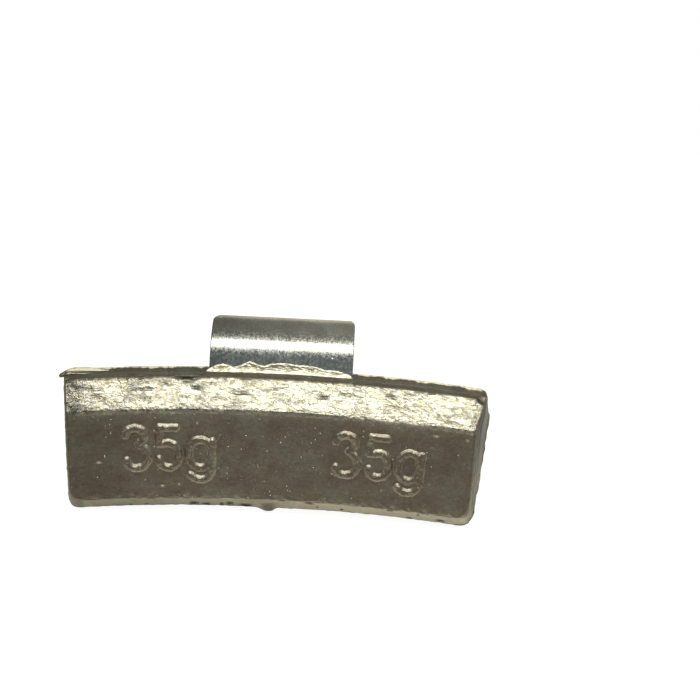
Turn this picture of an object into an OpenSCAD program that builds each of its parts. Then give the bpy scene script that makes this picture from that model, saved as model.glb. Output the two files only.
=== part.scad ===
// Clip-on wheel balance weight, 35 g, for an alloy wheel.
// A lead body is cast around the tang of a plated spring-steel clip, which hooks over the rim flange.
//
// Millimetres. The wheel's axle lies along Y, below the part, and +Z points away from it.
//   X  along the rim, the long way of the body
//  -Y  the sloping front face that is seen on the wheel; the flat back face lies at Y = 0
//  +Z  outwards, the side of the clip; Z = 0 is half way up the back face

/* [Cast body] */
// Length of the back face, straight across its two upper corners
body_len = 46; // [36:0.5:56]
// Height of the back face
body_h = 13; // [12.5:0.1:15]
// Radius of the rim flange that the upper side follows
flange_r = 210; // [150:1:280]
// Lean of both ends, in degrees from square
end_draft = 12; // [2:0.5:16]
// Rounding of the four corners, as seen from the front
corner_r = 1.2; // [0.4:0.1:1.8]

/* [Body section] */
// Depth of the upper side, back to front
side_depth = 5.4; // [5:0.1:6]
// How far the upper side rises towards the front
side_rise = 0.95; // [0.2:0.05:1.2]
// Depth of the upper edge of the bevel
bevel_depth = 6.2; // [6.1:0.1:6.8]
// Distance of that edge below the back corner
bevel_drop = 0.45; // [0.2:0.05:1]
// Depth of the ridge, the thickest place
ridge_depth = 7.3; // [7:0.1:8.2]
// Distance of the ridge below the back corner
ridge_drop = 4.05; // [3.6:0.05:4.6]
// Depth of the lower edge of the front face
foot_depth = 2.1; // [1.4:0.1:2.8]
// Rise of that edge above the lower back corner
foot_rise = 0.7; // [0.3:0.05:1.2]
// Rounding of the long back edges
back_edge_r = 0.6; // [0.2:0.05:0.9]
// Rounding of the long front edges
front_edge_r = 0.35; // [0.15:0.05:0.5]

/* [Casting marks] */
// Radius of the broken sprue under the body
sprue_r = 0.7; // [0.3:0.05:1]
// How far the sprue stands below the body
sprue_h = 0.3; // [0.1:0.05:0.8]
// Position of the sprue along the body
sprue_x = -0.6; // [-8:0.1:8]
// Height of the lead that crept up the front of the clip
skirt_h = 0.75; // [0.3:0.05:1.2]
// Thickness of that lead
skirt_t = 0.35; // [0.3:0.05:0.6]

/* [Clip] */
// Width of the spring strip
clip_w = 15.2; // [10:0.1:20]
// Thickness of the spring strip
strip_t = 1; // [0.8:0.05:1.1]
// Distance of the clip from the middle of the body
clip_shift = 0.5; // [-2:0.1:2]
// Depth of the middle of the strip where it leaves the body
root_depth = 5.3; // [5.2:0.05:5.4]
// Forward lean of the clip's front leg, in degrees
leg_lean = 10; // [5:0.5:12]
// Length of the front leg above the body
leg_up = 1.1; // [0.8:0.1:2.5]
// Bend over the front of the flange, to the middle of the strip
front_bend_r = 4.2; // [3.6:0.1:4.8]
// Angle of that bend
front_bend_a = 85; // [80:1:90]
// Bend down behind the flange, to the middle of the strip
rear_bend_r = 5.9; // [5.4:0.1:6.4]
// Angle of that bend
rear_bend_a = 77; // [68:1:84]
// Straight end of the hook
hook_end = 1.9; // [1.6:0.1:2.4]
// Rounding of the two corners of the hook's end
hook_corner_r = 1.5; // [0.6:0.1:1.5]

/* [Cast-in tang] */
// Length of the strip inside the body
tang_len = 6.4; // [5:0.1:7]
// Radius of the holes that the lead flows through
anchor_r = 1.2; // [0.8:0.1:1.6]
// Distance between the two holes
anchor_pitch = 8; // [5:0.1:9]

/* [Hidden] */

$fn = 96;
top_z = body_h / 2;
axle_z = top_z - flange_r;
end_a = asin(body_len / 2 / flange_r);
side_slope = atan(side_rise / side_depth);
foot_slope = atan(foot_rise / foot_depth);
root_z = side_rise * root_depth / side_depth;
spare = 20;

// Back top, side, bevel, ridge, foot and back bottom: [radius from the axle, depth, rounding]
section = [
    [flange_r, 0, back_edge_r],
    [flange_r + side_rise, side_depth, front_edge_r],
    [flange_r - bevel_drop, bevel_depth, front_edge_r],
    [flange_r - ridge_drop, ridge_depth, front_edge_r],
    [flange_r - body_h + foot_rise, foot_depth, front_edge_r],
    [flange_r - body_h, 0, back_edge_r]
];

function unit(v) = v / norm(v);

// Points of the arc that rounds corner b between the neighbours a and c
function arc_points(a, b, c, r, steps = 4) =
    let(
        u = unit(a - b),
        v = unit(c - b),
        half = acos(u * v) / 2,
        centre = b + unit(u + v) * r / sin(half),
        from = b + u * r / tan(half) - centre,
        to = b + v * r / tan(half) - centre
    )
    [for (i = [0 : steps]) centre + unit(from * (1 - i / steps) + to * (i / steps)) * r];

function rounded(corners) =
    let(n = len(corners))
    [for (i = [0 : n - 1])
        let(
            a = corners[(i + n - 1) % n],
            b = corners[i],
            c = corners[(i + 1) % n]
        )
        each arc_points([a[0], a[1]], [b[0], b[1]], [c[0], c[1]], b[2])];

// Carries its children from the axle to the end of the body on the given side (+1 or -1)
module at_end(side, radius) {
    translate([0, 0, axle_z]) rotate([0, side * end_a, 0]) translate([0, 0, radius]) children();
}

// The section turned about the axle, longer than the body
module bar() {
    sweep_a = 2 * end_a + 4;
    translate([0, 0, axle_z]) rotate([90, 0, 0]) rotate([0, 0, 90 - sweep_a / 2])
        rotate_extrude(angle = sweep_a, $fn = 720) polygon(rounded(section));
}

// Everything beyond the leaning end plane
module end_cut(side) {
    at_end(side, 0) rotate([0, 0, -side * end_draft])
        translate([side > 0 ? 0 : -spare, -spare, flange_r - 2 * spare]) cube([spare, 2 * spare, 3 * spare]);
}

// Flats around a corner of the outline; up is +1 or -1 and slope is that of the long side that meets it
module corner_cut(side, radius, up, slope) {
    for (a = [22.5, 45, 67.5])
        at_end(side, radius) rotate([-slope, 0, -side * end_draft])
            translate([-side * corner_r, 0, -up * corner_r]) rotate([0, side * (up > 0 ? 90 - a : 90 + a), 0])
                translate([-spare / 2, -spare, corner_r]) cube([spare, 1.5 * spare, spare]);
}

// A sprue broken off under the body, and lead that crept up the front of the clip
module sprue() {
    translate([sprue_x, -foot_depth / 2, -top_z - sprue_h]) cylinder(h = 2 * sprue_h + foot_rise, r = sprue_r);
}

module skirt() {
    skirt_l = clip_w + 1.2;
    translate([clip_shift - 0.4 - skirt_l / 2, 0, 0])
        rotate([90, 0, 90])
            linear_extrude(skirt_l)
                polygon([
                    [-root_depth, top_z - bevel_drop - skirt_h],
                    [0.1 - bevel_depth, top_z - bevel_drop - skirt_h / 2],
                    [-root_depth - strip_t / 2 - skirt_t, top_z + root_z + skirt_h / 2],
                    [-root_depth - strip_t / 2 - skirt_t * 0.7, top_z + root_z + skirt_h],
                    [-root_depth, top_z + root_z + skirt_h]
                ]);
}

module body() {
    difference() {
        union() {
            bar();
            sprue();
        }
        for (side = [-1, 1]) {
            end_cut(side);
            corner_cut(side, flange_r, 1, side_slope);
            corner_cut(side, flange_r - body_h, -1, foot_slope);
        }
    }
    skirt();
}

// A point of the strip is [depth, height]; its heading is the lean from straight up
function ahead(a) = [sin(a), cos(a)];
function inward(a) = [-cos(a), sin(a)];

// Stations [point, heading] along a bend that starts at p with heading a
function bend(p, a, radius, turn, steps = 20) =
    [for (i = [0 : steps])
        let(h = a - turn * i / steps)
        [p + radius * inward(a) - radius * inward(h), h]];

function last(list) = list[len(list) - 1];

root = [root_depth, top_z + root_z];
front_bend = bend(root + leg_up * ahead(leg_lean), leg_lean, front_bend_r, front_bend_a);
rear_bend = bend(last(front_bend)[0], last(front_bend)[1], rear_bend_r, rear_bend_a);
hook_a = last(rear_bend)[1];
tip = last(rear_bend)[0] + hook_end * ahead(hook_a);

stations = concat(
    [[root - tang_len * ahead(leg_lean), leg_lean]],
    front_bend,
    [for (i = [1 : len(rear_bend) - 1]) rear_bend[i]],
    [[tip, hook_a]]
);

function face(side) = [for (s = stations) let(q = s[0] + side * strip_t / 2 * inward(s[1])) [-q[0], q[1]]];
function reversed(list) = [for (i = [len(list) - 1 : -1 : 0]) list[i]];

// Carries its children to a point of the strip: Z along the heading, Y through the strip, X across it
module on_strip(p, heading) {
    translate([clip_shift, -p[0], p[1]]) rotate([heading, 0, 0]) children();
}

// Both corners of the hook's end, outside their rounding
module tip_corners() {
    for (s = [-1, 1])
        on_strip(tip, hook_a) translate([s * (clip_w / 2 - hook_corner_r), 0, -hook_corner_r])
            difference() {
                translate([s > 0 ? 0 : -2 * hook_corner_r, -strip_t, 0])
                    cube([2 * hook_corner_r, 2 * strip_t, 2 * hook_corner_r]);
                rotate([90, 0, 0]) cylinder(h = 3 * strip_t, r = hook_corner_r, center = true);
            }
}

module anchor_holes() {
    for (s = [-1, 1])
        on_strip(root - 0.6 * tang_len * ahead(leg_lean), leg_lean) translate([s * anchor_pitch / 2, 0, 0])
            rotate([90, 0, 0]) cylinder(h = 3 * strip_t, r = anchor_r, center = true);
}

module spring_clip() {
    difference() {
        translate([clip_shift - clip_w / 2, 0, 0]) rotate([90, 0, 90])
            linear_extrude(clip_w) polygon(concat(face(-1), reversed(face(1))));
        tip_corners();
        anchor_holes();
    }
}

// Cast lead alloy, poured around the tang of the clip
module cast_weight() {
    color("DimGray") difference() {
        body();
        spring_clip();
    }
}

// Spring-steel strip, zinc plated
module clip() {
    color("LightSteelBlue") spring_clip();
}

cast_weight();
clip();
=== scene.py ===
import math
import bmesh
import bpy
import numpy as np
from mathutils import Matrix, Vector


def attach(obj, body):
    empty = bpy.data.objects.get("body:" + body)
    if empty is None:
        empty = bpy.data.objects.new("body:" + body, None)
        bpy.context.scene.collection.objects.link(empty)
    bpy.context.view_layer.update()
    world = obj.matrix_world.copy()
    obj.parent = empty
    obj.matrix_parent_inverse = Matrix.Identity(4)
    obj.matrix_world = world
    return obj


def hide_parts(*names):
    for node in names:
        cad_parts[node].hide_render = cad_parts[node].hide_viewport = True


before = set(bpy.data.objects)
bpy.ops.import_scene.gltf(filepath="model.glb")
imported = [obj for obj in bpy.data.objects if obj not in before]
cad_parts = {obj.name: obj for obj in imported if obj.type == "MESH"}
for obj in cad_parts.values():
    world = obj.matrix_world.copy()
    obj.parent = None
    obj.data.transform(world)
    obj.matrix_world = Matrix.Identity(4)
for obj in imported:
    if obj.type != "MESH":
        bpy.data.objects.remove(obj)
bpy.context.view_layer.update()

# Section 1: the spring clip
# A strip of spring steel, blanked, bent over a mandrel and zinc plated before the lead is cast round its
# lower end. It is the first thing in the mould. The plating is a satin blue-white metal with a fine grain.

MM = 0.001
CLIP_WIDTH = 15.2
STRIP_THICK = 1.0
STRIP_EDGE_R = 0.13
CLIP_MIDDLE_X = 0.5
BACK_TOP_Z = 6.5
ROOT_DEPTH = 5.3
ROOT_RISE = 0.932
LEG_LEAN = 10
LEG_UP = 1.1
TANG_SHOWN = 1.6
FRONT_BEND = (4.2, 85)
REAR_BEND = (5.9, 77)
BEND_STEP = 1.5
HOOK_END = 1.9
HOOK_PLACES = (0.25, 0.5, 0.65, 0.75, 0.85, 0.92, 0.97, 1.0)
HOOK_CORNER_R = 1.5
# The strip draws in at its left and right towards the crest, between these two leans in degrees
CREST_DRAW_IN = (0.55, 0.35)
CREST_LEANS = (50, 76)
ZINC_LEG = "a6aeac"
# The bend's warmer tone is a painted tint of the highlight
ZINC_BEND_HIGHLIGHT_TINT = "afafa6"
# Near-white colour of a blister: a painted glint
ZINC_BLISTER_GLINT = "eeece4"


def linear(hex_colour):
    """Turns an sRGB hex colour into Blender's linear RGBA."""
    parts = [int(hex_colour[i:i + 2], 16) / 255 for i in (0, 2, 4)]
    return [c / 12.92 if c <= 0.04045 else ((c + 0.055) / 1.055) ** 2.4 for c in parts] + [1.0]


def add(tree, kind, inputs=None, **settings):
    """Adds a node and sets its properties; each input takes a value, a socket or a node's first output."""
    made = tree.nodes.new("ShaderNode" + kind)
    for name, value in settings.items():
        setattr(made, name, value)
    for name, value in (inputs or {}).items():
        if isinstance(value, bpy.types.Node):
            value = next(socket for socket in value.outputs if socket.enabled)
        if isinstance(value, bpy.types.NodeSocket):
            tree.links.new(value, made.inputs[name])
        else:
            made.inputs[name].default_value = value
    return made


def new_material(name):
    """An empty node material and its tree, for the sections to fill."""
    material = bpy.data.materials.new(name)
    material.use_nodes = True
    material.node_tree.nodes.clear()
    return material, material.node_tree


def shell(name, points, faces, material, weights=None):
    """A smooth mesh piece from points in millimetres, with named weights per point."""
    mesh = bpy.data.meshes.new(name)
    mesh.from_pydata((np.asarray(points) * MM).tolist(), [], faces)
    mesh.polygons.foreach_set("use_smooth", [True] * len(mesh.polygons))
    for key, values in (weights or {}).items():
        layer = mesh.attributes.new(key, "FLOAT", "POINT")
        layer.data.foreach_set("value", np.asarray(values, dtype=np.float32))
    mesh.materials.append(material)
    mesh.validate()
    solid = bmesh.new()
    solid.from_mesh(mesh)
    bmesh.ops.recalc_face_normals(solid, faces=solid.faces)
    solid.to_mesh(mesh)
    solid.free()
    piece = bpy.data.objects.new(name, mesh)
    bpy.context.scene.collection.objects.link(piece)
    return piece


def ring_faces(rings, count):
    """Quads between rings of points that each close on themselves."""
    faces = []
    for i in range(rings - 1):
        for j in range(count):
            k = (j + 1) % count
            faces.append((i * count + j, i * count + k, (i + 1) * count + k, (i + 1) * count + j))
    return faces


def smooth(x, low, high):
    """0 below low, 1 above high, eased between them."""
    t = np.clip((x - low) / (high - low), 0, 1)
    return t * t * (3 - 2 * t)


def clip_line():
    """Stations of the strip's middle line: its place in depth and height, heading, and way to the inside."""
    def ahead(a):
        return np.array([math.sin(math.radians(a)), math.cos(math.radians(a))])

    def inward(a):
        return np.array([-math.cos(math.radians(a)), math.sin(math.radians(a))])

    root = np.array([ROOT_DEPTH, BACK_TOP_Z + ROOT_RISE])
    line = [(root - TANG_SHOWN * ahead(LEG_LEAN), LEG_LEAN), (root, LEG_LEAN)]
    point, heading = root + LEG_UP * ahead(LEG_LEAN), LEG_LEAN
    for radius, turn in (FRONT_BEND, REAR_BEND):
        steps = int(turn / BEND_STEP)
        start, first = point, heading
        for i in range(steps + 1):
            heading = first - turn * i / steps
            point = start + radius * inward(first) - radius * inward(heading)
            line.append((point, heading))
    for part in HOOK_PLACES:
        line.append((point + part * HOOK_END * ahead(heading), heading))
    return [(p, a, inward(a)) for p, a in line]


def strip_ring(half_width, half_thick, edge):
    """Section of the strip: across it, and through it towards the inside of the bend."""
    ring = []
    for cx, cy, first in ((1, 1, 0), (-1, 1, 90), (-1, -1, 180), (1, -1, 270)):
        for i in range(5):
            a = math.radians(first + 22.5 * i)
            ring.append((cx * (half_width - edge) + edge * math.cos(a),
                         cy * (half_thick - edge) + edge * math.sin(a)))
        if cx == cy:
            for part in np.linspace(-0.98, 0.98, 25):
                ring.append((-cx * part * (half_width - edge), cy * half_thick))
    return ring


def rounded_off(left, corner):
    """What a rounded corner takes off a side, at this distance from the end."""
    if left >= corner:
        return 0
    return corner - math.sqrt(max(0, corner ** 2 - (corner - left) ** 2))


def clip_mesh():
    """The strip swept along its line, down to a hook's end with two rounded corners."""
    stations = clip_line()
    steps = [np.linalg.norm(b[0] - a[0]) for a, b in zip(stations, stations[1:])]
    half = CLIP_WIDTH / 2
    points = []
    for i, (middle, heading, inner) in enumerate(stations):
        left = sum(steps) - sum(steps[:i])
        into_crest = float(smooth(np.array(-heading), *CREST_LEANS))
        cut = rounded_off(left, HOOK_CORNER_R)
        ring = strip_ring(half, STRIP_THICK / 2 - rounded_off(left, STRIP_EDGE_R), STRIP_EDGE_R)
        for across, through in ring:
            drawn_in = into_crest * CREST_DRAW_IN[0 if across < 0 else 1]
            x = across * (half - drawn_in - cut) / half
            p = middle + through * inner
            points.append((CLIP_MIDDLE_X + x, -p[0], p[1]))
    faces = ring_faces(len(stations), len(ring))
    faces.append(tuple(range(len(ring))))
    faces.append(tuple(range(len(points) - 1, len(points) - len(ring) - 1, -1)))
    return points, faces


# Zinc plate over cold-rolled steel strip: a blue-white metal, satin and cloudy. Its grains, a quarter of a
# millimetre across, differ in gloss, which gives the highlight ragged edges
zinc, tree = new_material("zinc_plated_spring_steel")
place = add(tree, "TexCoord").outputs["Object"]
grain_at = add(tree, "VectorMath", {0: place, 1: (3600, 3600, 3600)}, operation="MULTIPLY")
cloud_at = add(tree, "VectorMath", {0: place, 1: (900, 500, 500)}, operation="MULTIPLY")
grain = add(tree, "TexNoise", {"Vector": grain_at, "Scale": 1.0, "Detail": 4, "Roughness": 0.8})
cloud = add(tree, "TexNoise", {"Vector": cloud_at, "Scale": 1.0, "Detail": 5, "Roughness": 0.6})
cloud_tone = add(
    tree, "MapRange", {"Value": cloud, "From Min": 0.35, "From Max": 0.65, "To Min": 1.0, "To Max": 0.76})
# Bluish on the leg, and painted warmer over the bend as the warm tint of the highlight. Painted shade
# darkens it towards the left, and painted light brightens it high on the right
clip_x, _, clip_z = add(tree, "SeparateXYZ", {0: place}).outputs
over_bend = add(tree, "MapRange", {"Value": clip_z, "From Min": 0.0084, "From Max": 0.0092})
plating_and_highlight_tint = add(
    tree, "Mix", {"Factor": over_bend, "A": linear(ZINC_LEG), "B": linear(ZINC_BEND_HIGHLIGHT_TINT)}, data_type="RGBA")
darker_left = add(
    tree, "MapRange",
    {"Value": clip_x, "From Min": -0.0072, "From Max": -0.003, "To Min": 0.8, "To Max": 1.0})
high_up = add(tree, "MapRange", {"Value": clip_z, "From Min": 0.0104, "From Max": 0.0116})
to_right = add(tree, "MapRange", {"Value": clip_x, "From Min": -0.004, "From Max": 0.005, "To Max": 0.35})
painted_light_high_right = add(tree, "Math", {0: high_up, 1: to_right}, operation="MULTIPLY")
lifted = add(tree, "Math", {0: painted_light_high_right, 1: 1.0}, operation="ADD")
cloud_left = add(tree, "Math", {0: cloud_tone, 1: darker_left}, operation="MULTIPLY")
zinc_level = add(tree, "Math", {0: cloud_left, 1: lifted}, operation="MULTIPLY")
zinc_colour = add(tree, "VectorMath", {0: plating_and_highlight_tint, "Scale": zinc_level}, operation="SCALE")
zinc_rough = add(
    tree, "MapRange", {"Value": grain, "From Min": 0.4, "From Max": 0.62, "To Min": 0.14, "To Max": 0.38})
# Blisters in the plating, about two to every square centimetre, up to 0.2 mm across, their bright colour a
# painted glint
cells = add(tree, "TexVoronoi", {"Vector": place, "Scale": 650})
cell_pick = add(tree, "SeparateXYZ", {0: cells.outputs["Color"]})
picked = add(tree, "Math", {0: cell_pick, 1: 0.72}, operation="GREATER_THAN")
blister_round = add(
    tree, "MapRange",
    {"Value": cells.outputs["Distance"], "From Min": 0.02, "From Max": 0.08, "To Min": 1.0, "To Max": 0.0})
blister = add(tree, "Math", {0: blister_round, 1: picked}, operation="MULTIPLY")
blister_high = add(tree, "Math", {0: blister, 1: 1.6}, operation="MULTIPLY")
plate_height = add(tree, "Math", {0: grain, 1: blister_high}, operation="ADD")
plate_bump = add(tree, "Bump", {"Height": plate_height, "Strength": 1.0, "Distance": 0.00001})
blister_glint_colour = add(
    tree, "Mix", {"Factor": blister, "A": zinc_colour, "B": linear(ZINC_BLISTER_GLINT)}, data_type="RGBA")
blister_rough = add(tree, "Mix", {"Factor": blister, "A": zinc_rough, "B": 0.6}, data_type="FLOAT")
metal = add(
    tree, "BsdfPrincipled",
    {"Base Color": blister_glint_colour, "Metallic": 1.0, "Roughness": blister_rough, "Normal": plate_bump})
add(tree, "OutputMaterial", {"Surface": metal})

points, faces = clip_mesh()
clip = shell("spring_clip", points, faces, zinc)
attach(clip, "root")
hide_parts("clip")

# Section 2: the cast body
# Lead alloy poured round the clip's tang in a two-part die, which it leaves because both its ends lean in.
# The figures stand proud of the sloping face, and the bevel above it is creased.

# The section is turned about the wheel's axle
AXLE_Z = -203.5
FLANGE_R = 210.0
BODY_LENGTH = 46.0
# Rise of the upper side and of the foot strip with depth, each with its cosine
TOP_RISE = 0.198
TOP_COS = 0.981
BACK_FOOT_R = 196.93
FOOT_RISE = 0.233
FOOT_COS = 0.974
# The left end (-1) and the right end (1): lean in degrees, then how far parts of it stand in or out
END_DRAFT = {-1: 6.2, 1: 10.8}
END_INSET = {-1: 0.1, 1: -0.02}
END_FULLER = {-1: 0.0, 1: 0.4}
FOOT_INSET = {-1: 0.08, 1: 0.14}
HEAD_OUTSET = {-1: 0.0, 1: 0.06}
TOP_CORNER_R = {-1: 0.75, 1: 0.9}
CORNER_R = {-1: 1.1, 1: 1.4}
END_EDGE_R = 0.3
# Corners of the section: distance from the axle, depth, rounding. Facets run from each corner to the next
SECTION = {
    "back_top": (210.0, 0.0, 0.6),
    "lip": (211.05, 5.3, 0.3),
    "shoulder": (209.55, 6.75, 0.2),
    "ridge": (205.78, 7.25, 1.0),
    "foot": (197.42, 2.1, 0.4),
    "back_foot": (BACK_FOOT_R, 0.0, 0.3),
}
# Middle of the section, from which the end caps spread out
SECTION_CORE = (203.4, 3.3)
SIDE, BAND, BEVEL, FACE, STRIP, BACK = range(6)
BAND_LENGTH = 2.09
BEVEL_LENGTH = 3.63
# Spacing of the mesh round the section, finer where the figures and the lip are, and along the body
FACET_STEP = {SIDE: 0.45, BAND: 0.075, BEVEL: 0.09, FACE: 0.2, STRIP: 0.14, BACK: 0.65}
FINE_PART = {FACE: (1.1, 8.4), SIDE: (4.6, 6.0)}
FIGURE_STEP = 0.086
FIGURE_SPANS = ((-16.4, -5.6), (5.6, 16.4))
FIGURE_STEP_X = 0.09
PLAIN_STEP_X = 0.21
# Rings stand square to the middle of the body as far as this, and beyond it turn towards the leaning end
SQUARE_TO = 17.0
TAIL_LENGTH = 5.12
# Rings of an end cap by share of the way out, then round its edge by angle and by share of the end's look
CAP_SHARES = (0.03, 0.12, 0.24, 0.36, 0.48, 0.6, 0.7, 0.78, 0.85, 0.9, 0.94, 0.97, 0.99, 1.0)
RIM_TURNS = (22.5, 45, 67.5, 90)
RIM_END_SHARES = (0.6, 0.3, 0.1, 0.0)
# Place along the body that stands for the end caps
ON_END = 99.0
# Places along the body are measured at this distance from the axle
FACE_R = 202.0
LEAD_FRESH = "929080"
LEAD_DULL = "8c8373"
LEAD_STAINED = "81766a"
LEAD_BRIGHT = "a8a69a"
LEAD_CREAM = "ada68a"
# Near-white colour of painted highlights and glints, and of rubbed lead
LEAD_RUBBED_HIGHLIGHT = "e6e0c8"
# Tone of the ends by distance behind the face, painted shade and highlight: place from 0 to 1, level
END_PAINTED_BANDS = (
    (0.0, 0.6), (0.16, 0.5), (0.24, 0.3), (0.33, 0.3), (0.38, 0.75), (0.44, 0.6), (0.5, 0.3), (1.0, 0.3))


def waves(a, b, longest, shortest, seed, count=36):
    """Smooth seeded unevenness over two coordinates in millimetres, about -1 to 1."""
    pick = np.random.default_rng(seed)
    total = np.zeros(np.broadcast(a, b).shape)
    for _ in range(count):
        size = math.exp(pick.uniform(math.log(shortest), math.log(longest)))
        turn, start = pick.uniform(0, 2 * math.pi, 2)
        total = total + np.cos(2 * math.pi / size * (a * math.cos(turn) + b * math.sin(turn)) + start)
    return total / math.sqrt(count / 2) / 1.8


def spaced(length, step, fine=None, fine_step=0.1):
    """Places along a straight stretch, closer together near its ends and in its fine part."""
    places = [0.0]
    while places[-1] < length:
        inside = fine and fine[0] <= places[-1] < fine[1]
        places.append(places[-1] + (fine_step if inside else step))
    scale = length / places[-1]
    middle = [p * scale for p in places[1:-1]]
    close = min(0.05, step / 2)
    middle = [p for p in middle if close * 1.5 < p < length - close * 1.5]
    return np.array([0.0, close] + middle + [length - close, length])


def section_loop():
    """The closed section: radius, depth, outward normal, facet number and distance along the facet."""
    corner = [np.array(place[:2]) for place in SECTION.values()]
    rounding = [place[2] for place in SECTION.values()]
    rows = []
    n = len(corner)
    reach = []
    for i in range(n):
        u = corner[i - 1] - corner[i]
        v = corner[(i + 1) % n] - corner[i]
        u, v = u / np.linalg.norm(u), v / np.linalg.norm(v)
        half = math.acos(float(u @ v)) / 2
        reach.append(rounding[i] / math.tan(half))
    for i in range(n):
        a, b = corner[i], corner[(i + 1) % n]
        along = (b - a) / np.linalg.norm(b - a)
        outward = np.array([along[1], -along[0]])
        start, end = reach[i], np.linalg.norm(b - a) - reach[(i + 1) % n]
        fine = FINE_PART.get(i)
        fine = fine and (fine[0] - start, fine[1] - start)
        for s in spaced(end - start, FACET_STEP[i], fine, FIGURE_STEP):
            rows.append([*(a + along * (start + s)), *outward, i, start + s])
        c = corner[(i + 2) % n]
        after = (c - b) / np.linalg.norm(c - b)
        next_out = np.array([after[1], -after[0]])
        centre = b - along * reach[(i + 1) % n] - outward * rounding[(i + 1) % n]
        steps = 7 if rounding[(i + 1) % n] < 0.5 else 6
        for k in range(1, steps):
            t = k / steps
            normal = outward * (1 - t) + next_out * t
            normal /= np.linalg.norm(normal)
            point = centre + normal * rounding[(i + 1) % n]
            far = np.linalg.norm(b - a)
            rows.append([*point, *normal, i if t < 0.5 else (i + 1) % n, far if t < 0.5 else 0.0])
    return np.array(rows)


def below_top(radius, depth):
    """Distance below the upper side."""
    return (FLANGE_R + TOP_RISE * depth - radius) * TOP_COS


def above_foot(radius, depth):
    """Distance above the foot strip."""
    return (radius - BACK_FOOT_R - FOOT_RISE * depth) * FOOT_COS


def end_angle(radius, depth, side):
    """Angle about the axle at which the leaning, rounded end cuts a point of the section."""
    half = math.asin(BODY_LENGTH / 2 / FLANGE_R)
    inset = END_INSET[side] - END_FULLER[side] * smooth(radius, 205.9, 208.8) * np.clip(depth / 7, 0, 1)
    inset = inset + FOOT_INSET[side] * smooth(-radius, -202.5, -198.5)
    inset = inset - HEAD_OUTSET[side] * smooth(radius, 202.5, 204.5)
    corners = ((below_top(radius, depth), TOP_CORNER_R[side]), (above_foot(radius, depth), CORNER_R[side]))
    for height, corner in corners:
        gap = corner - np.clip(height, 0, corner)
        inset = inset + corner - np.sqrt(np.maximum(corner ** 2 - gap ** 2, 0))
    return half - (math.tan(math.radians(END_DRAFT[side])) * depth + inset) / radius


# The figures: middle lines of the raised strokes, across and down the face from each figure's own middle
THREE = (
    (-0.95, 2.72), (-0.72, 2.25), (0.0, 1.93), (0.72, 2.13), (1.0, 2.7), (0.8, 3.3), (0.42, 3.74),
    (0.98, 4.14), (1.38, 4.95), (1.2, 5.75), (0.72, 6.26), (0.1, 6.41), (-0.45, 6.28), (-0.8, 5.92),
    (-0.92, 5.55))
FIVE_BOWL = (
    (-0.92, 3.74), (-0.5, 3.74), (0.1, 3.62), (0.75, 3.9), (1.15, 4.7), (1.08, 5.5), (0.68, 6.14),
    (0.1, 6.38), (-0.45, 6.24), (-0.82, 5.88), (-0.95, 5.45))
FIVE_STEM = ((0.88, 1.93), (-0.82, 1.93), (-0.92, 3.74))
G_BOWL = (
    (1.2, 4.3), (0.85, 3.55), (0.1, 3.24), (-0.65, 3.55), (-1.06, 4.3), (-1.08, 5.2), (-0.7, 6.0),
    (-0.3, 6.28), (0.1, 6.38), (0.5, 6.28), (0.9, 5.95), (1.22, 5.3))
G_TAIL = (
    (1.34, 3.42), (1.3, 5.0), (1.28, 6.5), (1.1, 7.12), (0.7, 7.54), (0.15, 7.7), (-0.45, 7.6),
    (-0.95, 7.2))
# Half widths of a stroke at its foot and top, how much lower the top lies on the face, and its height
STROKE_FOOT = 0.42
STROKE_TOP = 0.17
STROKE_TOP_DROP = 0.13
STROKE_RISE = 0.29
# Middle of a figure in its own marks, and where it comes down the face
FIGURE_MIDDLE = 4.2
FIGURE_PLACE = 4.09
# Points of the strokes are measured in batches, and the face beyond them counts as this far off
BATCH = 40
FAR_OFF = 9.0


def curve_through(marks, step=0.06, corners=False):
    """Points along a smooth curve, or straight lines, through the marks."""
    marks = [np.array(m, dtype=float) for m in marks]
    if corners:
        counts = [max(2, int(np.linalg.norm(b - a) / step)) for a, b in zip(marks, marks[1:])]
        return np.concatenate([np.linspace(a, b, n) for a, b, n in zip(marks, marks[1:], counts)])
    padded = [2 * marks[0] - marks[1]] + marks + [2 * marks[-1] - marks[-2]]
    points = []
    for p0, p1, p2, p3 in zip(padded, padded[1:], padded[2:], padded[3:]):
        for t in np.arange(0, 1, step / max(step, np.linalg.norm(p2 - p1))):
            points.append(0.5 * (2 * p1 + (p2 - p0) * t + (2 * p0 - 5 * p1 + 4 * p2 - p3) * t ** 2
                                 + (3 * p1 - p0 - 3 * p2 + p3) * t ** 3))
    points.append(marks[-1])
    return np.array(points)


def figure(strokes, middle, tilt=0.0):
    """One figure's stroke points on the face: u along it, v down it."""
    turn = math.radians(tilt)
    points = np.concatenate([curve_through(s, corners=s is FIVE_STEM) for s in strokes])
    across, down = points[:, 0], points[:, 1] - FIGURE_MIDDLE
    return np.stack([middle + across * math.cos(turn) + down * math.sin(turn),
                     FIGURE_PLACE + down * math.cos(turn) - across * math.sin(turn)], axis=1)


figures = np.concatenate([
    figure([THREE], -14.33),
    figure([FIVE_STEM, FIVE_BOWL], -10.9),
    figure([G_BOWL, G_TAIL], -7.6),
    figure([THREE], 7.66, 1.6),
    figure([FIVE_STEM, FIVE_BOWL], 11.15, 1.6),
    figure([G_BOWL, G_TAIL], 14.38, 0.8),
])

# Places on the second set where the die was worn and the stroke hardly stands up: u, v, radius, share lost
WORN = ((9.95, 2.95, 0.62, 0.85), (6.75, 2.35, 0.5, 0.6), (8.35, 3.3, 0.5, 0.7), (12.2, 5.3, 0.35, 0.4))


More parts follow.
